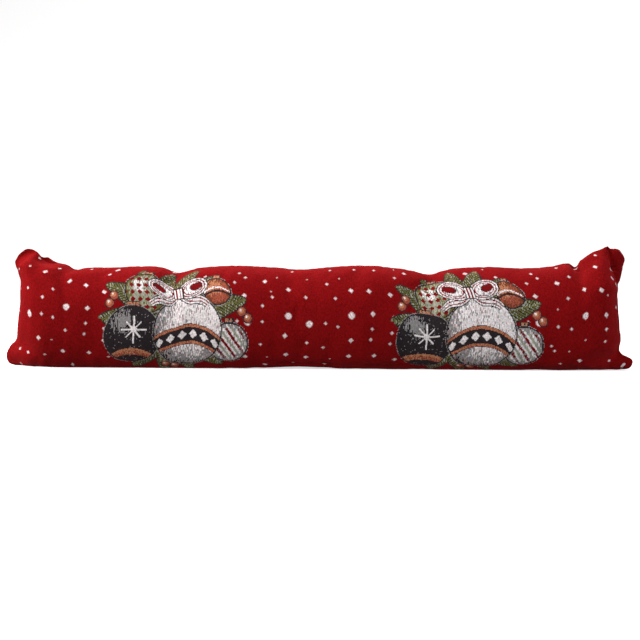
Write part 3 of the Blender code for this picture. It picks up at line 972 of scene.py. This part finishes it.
class Cluster:
    """A cluster of baubles on fir sprigs, painted on a cloth from the back to the front. The
    places x and y are metres from its middle, and area is all that its forms cover. A number
    that thread or streak is compared with is the share of them, picked at random, below it."""

    def __init__(self, cloth, x, y, thread, streak):
        self.cloth, self.x, self.y, self.thread, self.streak = cloth, x, y, thread, streak
        self.place = cloth.vector(x, y)
        self.area = None
        self.paint = cloth.paint

    def distance(self, at_x, at_y):
        """From a place given in millimetres."""
        node = self.cloth.node("ShaderNodeVectorMath", operation="DISTANCE")
        self.cloth.tree.links.new(self.place, node.inputs[0])
        node.inputs[1].default_value = (at_x * MM, at_y * MM, 0.0)
        return Field(node.outputs["Value"])

    def near(self, at_x, at_y, uneven, radius):
        """A round place whose edge is uneven by streaks of thread."""
        return self.distance(at_x, at_y) + self.streak * uneven < radius

    def beyond(self, at_x, at_y, uneven, radius):
        """All that lies outside such a place."""
        return self.distance(at_x, at_y) + self.streak * uneven > radius

    def cover(self, colour, mask):
        """Paints an outermost form, which adds to the cluster's area."""
        self.paint(colour, mask)
        self.area = mask if self.area is None else self.area.high(mask)

    def fir_sprigs(self):
        """Black-edged sprigs with olive and grey-green needles."""
        angle = number(self.cloth.tree, "ARCTAN2", self.y, self.x)
        wedge = 2 * math.pi / SPRIGS
        sector = (angle / wedge).floor()
        middle = (sector + 0.5) * wedge
        turn, far = angle - middle, self.distance(0, 0)
        forward, aside = far * turn.by("COSINE"), abs(far * turn.by("SINE"))
        varied = self.cloth.chance(sector, *SPRIG_SEEDS) * SPRIG_VARIED
        length = varied + abs(middle.by("COSINE")) * SPRIG_WIDER + SPRIG_SHORTEST
        taper = ((length - forward) / SPRIG_TAPER).high(0.0).by("SQRT").low(1.0) * SPRIG_HALF
        outer = (aside < taper + SPRIG_EDGE) * (forward < length + SPRIG_END_EDGE)
        self.cover(BLACK, outer)
        needle = (forward - aside * NEEDLE_SLANT).wrapped(NEEDLE_PERIOD) < NEEDLE_WIDTH
        self.paint(OLIVE, (aside < taper) * needle.high(aside < SPRIG_RIB))
        self.paint(SAGE, (aside < taper) * needle * (self.streak < 0.22))

    def berries(self):
        """Small rust berries, each with a lighter side and a white shine."""
        for at_x, at_y in BERRIES:
            self.cover(BLACK, self.distance(at_x, at_y) < BERRY_EDGE)
            self.paint(RUST, self.distance(at_x, at_y) < BERRY)
            left, above = BERRY_LIGHT_MM
            light = self.distance(at_x - left, at_y + above) + self.thread * BERRY_UNEVEN
            self.paint(ORANGE, light < BERRY_LIGHT)
            self.paint(WHITE, self.distance(at_x - 2 * left, at_y + 2 * above) < BERRY_SHINE)

    def bauble(self, at_x, at_y, size, colour):
        """A plain ball with its cap, halo and outline. Gives the distance from its middle and its
        inside."""
        gap = self.distance(at_x, at_y)
        cap_x, cap_y = abs(self.x - at_x * MM), self.y - (at_y + size + CAP_UP_MM) * MM
        cap_half = size * CAP_SHARE * MM
        cap = (cap_x < cap_half) * (abs(cap_y) < CAP_HALF_HEIGHT)
        rim = (cap_x < cap_half + CAP_EDGE) * (abs(cap_y) < CAP_EDGE_HALF_HEIGHT)
        self.cover(BLACK, rim)
        self.paint(ORANGE, cap * (cap_x.centred(CAP_RIBS) > CAP_RIB).high(self.thread > 0.6))
        self.cover(GREY, (gap < (size + HALO_MM) * MM) * (self.thread > HALO_FROM))
        self.cover(BLACK, gap < (size + EDGE_MM) * MM)
        inside = gap < size * MM
        self.paint(colour, inside)
        return gap, inside

    def shaded(self, colour, inside, gap, size):
        """Threads of another colour towards a bauble's rim."""
        uneven = gap + self.streak * (size * RIM_RAGGED * MM)
        self.paint(colour, inside * (uneven > size * RIM_FROM * MM))

    def level_on(self, at_x, at_y, size):
        """The height over a bauble's middle, curved with its roundness."""
        side = self.x - at_x * MM
        return self.y - at_y * MM + side * side * (ROUNDNESS / (size * MM))

    def orange_bauble(self):
        """Rust and brown away from the light, with a dark and a white line."""
        gap, inside = self.bauble(*ORANGE_BAUBLE, ORANGE)
        self.paint(RUST, inside * self.beyond(*ORANGE_SHADE))
        self.shaded(BROWN, inside, gap, ORANGE_BAUBLE[2])
        self.paint(BROWN, inside * (self.thread < 0.12))
        level = self.level_on(*ORANGE_BAUBLE)
        self.paint(BLACK, inside * band(level, *DARK_LINE))
        self.paint(WHITE, inside * band(level, *WHITE_LINE) * (self.thread > 0.15))

    def striped_bauble(self):
        """White, with slanting stripes in red and grey-green."""
        gap, inside = self.bauble(*STRIPED_BAUBLE, WHITE)
        slant = (self.x + self.y * STRIPE_SLANT).wrapped(STRIPE_PERIOD)
        self.paint(DEEP_RED, inside * (slant < RED_STRIPE))
        self.paint(SAGE, inside * band(slant, *SAGE_STRIPE))
        self.paint(GREY, inside * (self.streak > 0.86))
        self.shaded(GREY, inside, gap, STRIPED_BAUBLE[2])

    def spotted_bauble(self):
        """Grey-green, with a white light and small red diamonds."""
        gap, inside = self.bauble(*SPOTTED_BAUBLE, SAGE)
        self.paint(WHITE, inside * self.near(*SPOTTED_LIGHT))
        self.paint(OLIVE, inside * (self.streak > 0.84))
        self.shaded(OLIVE, inside, gap, SPOTTED_BAUBLE[2])
        across, above = abs(self.x.centred(SPOT_PERIOD)), abs(self.y.centred(SPOT_PERIOD))
        self.paint(DEEP_RED, inside * (across + above < SPOT))

    def star_bauble(self):
        """Black, with a grey light, an orange band and a white star."""
        _, inside = self.bauble(*STAR_BAUBLE, BLACK)
        self.paint(GREY, inside * self.near(*STAR_LIGHT))
        self.paint(GREY, inside * (self.thread > 0.965))
        level = self.level_on(*STAR_BAUBLE)
        belt = inside * band(level, *BELT)
        self.paint(ORANGE, belt)
        self.paint(RUST, inside * band(level, *BELT_SHADE) * (self.streak < 0.62))
        self.paint(BROWN, belt * (self.thread < 0.12))
        across, above = abs(self.x - STAR_ACROSS), abs(self.y - STAR_UP)
        half, length = STAR_LONG_ARMS
        upright = (across.low(above) < half) * (across.high(above) < length)
        half, length = STAR_SHORT_ARMS
        slanting = band(across, above, half) * (across.high(above) < length)
        middle = across + above < STAR_MIDDLE
        self.paint(WHITE, inside * upright.high(slanting).high(middle))

    def banded_bauble(self):
        """White and the largest, with a shadow side and a dark band that carries diamonds."""
        _, inside = self.bauble(*BANDED_BAUBLE, WHITE)
        self.paint(GREY, inside * self.beyond(*BANDED_SHADE))
        self.paint(BLACK, inside * self.beyond(*BANDED_DARK))
        self.paint(GREY, inside * (self.streak > 0.88))
        self.paint(PINK, inside * (self.streak < 0.07) * 0.6)
        away = abs(self.level_on(*BANDED_BAUBLE) - BAND_UP)
        self.paint(BLACK, inside * (away < BAND_HALF))
        self.paint(ORANGE, inside * band(away, *BAND_EDGE))
        self.paint(RUST, inside * band(away, *BAND_EDGE) * (self.thread < 0.38))
        side = abs((self.x - DIAMOND_FROM).centred(DIAMOND_PERIOD))
        self.paint(WHITE, inside * (side + away < DIAMOND))

    def bow_tails(self):
        """The bow's two striped tails."""
        for way in (-1, 1):
            side, above = (self.x - BOW_ACROSS) * way, self.y - TAILS_UP
            sway = above + side * TAIL_DROP + side.wave(TAIL_WAVE) * TAIL_SWAY
            reach = side - sway * TAIL_CUT
            tail = (side > 0.0) * (reach < TAIL_LENGTH)
            outer = tail * (abs(sway) < TAIL_EDGE) * (reach < TAIL_EDGE_LENGTH)
            self.cover(BLACK, outer)
            self.paint(WHITE, tail * (abs(sway) < TAIL_HALF))
            self.paint(DEEP_RED, tail * band(abs(sway), TAIL_STRIPE, TAIL_STRIPE_HALF))
            self.paint(GREY, tail * (abs(sway) < TAIL_HALF) * (self.streak > 0.80))

    def bow_loops(self):
        """The bow's two striped loops, each with a dark hollow."""
        longer, shorter = LOOP_LEAN
        for way in (-1, 1):
            side, above = (self.x - BOW_ACROSS) * way - LOOP_ASIDE, self.y - LOOPS_UP
            lengthwise = side * longer + above * shorter
            crosswise = (above * longer - side * shorter) * LOOP_NARROW
            across = crosswise * crosswise
            outer = (lengthwise * lengthwise + across).by("SQRT")
            within = lengthwise - HOLLOW_ASIDE
            hollow = (within * within * HOLLOW_SHAPE[0] + across * HOLLOW_SHAPE[1]).by("SQRT")
            self.cover(BLACK, outer < LOOP_EDGE)
            self.paint(WHITE, outer < LOOP_REACH)
            for stripe in LOOP_STRIPES:
                self.paint(DEEP_RED, band(outer, stripe, STRIPE_HALF))
            self.paint(GREY, (outer < LOOP_REACH) * (self.streak > 0.82))
            self.paint(BLACK, hollow < HOLLOW_EDGE)
            self.paint(DEEP_RED, hollow < HOLLOW)

    def bow_knot(self):
        """The bow's square knot, with two upright stripes."""
        aside = abs(self.x - BOW_ACROSS)
        knot = aside.high(abs(self.y - KNOT_UP) * KNOT_FLATTER)
        self.cover(BLACK, knot < KNOT_EDGE)
        self.paint(WHITE, knot < KNOT)
        self.paint(DEEP_RED, (knot < KNOT) * band(aside, KNOT_STRIPE, STRIPE_HALF))


def photo_camera():
    """The camera at the photograph's angle: a long lens, a little above and to the right."""
    across, away = math.sin(SIGHT_TURN), math.cos(SIGHT_TURN)
    eye = Vector((SIGHT_DISTANCE * across, -SIGHT_DISTANCE * away, SIGHT_HEIGHT))
    data = bpy.data.cameras.new("photo_camera")
    data.lens = LENS_MM
    data.sensor_width = SENSOR_MM
    camera = bpy.data.objects.new("photo_camera", data)
    camera.location = eye
    camera.rotation_euler = (Vector(LOOKED_AT) - eye).to_track_quat("-Z", "Y").to_euler()
    bpy.context.scene.collection.objects.link(camera)
    bpy.context.scene.camera = camera


# The pale floor's sizes: level from its front to its back, then bent up to its top
FLOOR_HALF_WIDTH, FLOOR_FRONT, FLOOR_BACK, FLOOR_TOP = 4.0, -4.0, 2.2, 4.0
FLOOR_BEND, FLOOR_STEPS = 0.8, 16
# Its plain surface, which glows a little to stay pale
FLOOR_SURFACE = {
    "Base Color": (0.86, 0.86, 0.86, 1.0),
    "Roughness": 0.9,
    "Specular IOR Level": 0.1,
    "Emission Color": (1.0, 1.0, 1.0, 1.0),
    "Emission Strength": 0.62,
}
# The faint light all round, and the lamps and the place that they are aimed at
ALL_ROUND = {"Color": (1.0, 0.98, 0.98, 1.0), "Strength": 0.03}
LIT_PLACE = (0, 0, 0.07)
LIGHTS = (
    # name, place, size, watts, colour
    ("overhead_light", (-0.45, 0.44, 1.9), (2.4, 1.8), 63.0, (1.0, 1.0, 1.0)),
    ("left_light", (-2.1, -0.62, 0.74), (1.2, 1.0), 58.0, (1.0, 0.93, 0.91)),
    ("front_light", (0.5, -2.8, 0.60), (2.4, 1.0), 33.0, (1.0, 1.0, 1.0)),
    ("right_light", (2.3, -0.45, 0.50), (1.0, 1.0), 20.0, (0.84, 0.94, 1.0)),
)


def pale_floor():
    """A pale floor that curves up behind."""
    profile = [(FLOOR_FRONT, 0.0)]
    for step in range(FLOOR_STEPS + 1):
        turn = step * math.pi / 2 / FLOOR_STEPS
        raised = FLOOR_BEND - FLOOR_BEND * math.cos(turn)
        profile.append((FLOOR_BACK + FLOOR_BEND * math.sin(turn), raised))
    profile.append((FLOOR_BACK + FLOOR_BEND, FLOOR_TOP))
    points = [(side, y, z) for y, z in profile for side in (-FLOOR_HALF_WIDTH, FLOOR_HALF_WIDTH)]
    faces = [(2 * i, 2 * i + 1, 2 * i + 3, 2 * i + 2) for i in range(len(profile) - 1)]
    mesh = bpy.data.meshes.new("pale_floor")
    mesh.from_pydata(points, [], faces)
    mesh.polygons.foreach_set("use_smooth", [True] * len(faces))
    material = bpy.data.materials.new("pale_floor")
    material.use_nodes = True
    set_inputs(material.node_tree.nodes["Principled BSDF"], FLOOR_SURFACE)
    mesh.materials.append(material)
    floor = bpy.data.objects.new("pale_floor", mesh)
    floor.visible_diffuse = False
    bpy.context.scene.collection.objects.link(floor)


def studio_lights():
    """Soft light from above, the sides and the front, and a faint light all round."""
    for name, place, size, power, colour in LIGHTS:
        light = bpy.data.lights.new(name, "AREA")
        light.shape = "RECTANGLE"
        light.size, light.size_y = size
        light.energy = power
        light.color = colour
        lamp = bpy.data.objects.new(name, light)
        lamp.location = place
        lamp.rotation_euler = (Vector(LIT_PLACE) - Vector(place)).to_track_quat("-Z", "Y").to_euler()
        bpy.context.scene.collection.objects.link(lamp)
    world = bpy.data.worlds.new("studio")
    world.use_nodes = True
    set_inputs(world.node_tree.nodes["Background"], ALL_ROUND)
    bpy.context.scene.world = world
    bpy.context.scene.view_settings.view_transform = "Standard"


photo_camera()
pale_floor()
studio_lights()
cover = sewn_cover()
filled(cover)
subdivided(cover)
detailed(cover)
dotted(cover)
cover.data.polygons.foreach_set("use_smooth", [True] * len(cover.data.polygons))
cover.data.materials.append(tapestry())
cover.data.materials.append(plain_back())
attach(cover, "root")
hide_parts("stuffed_cover")
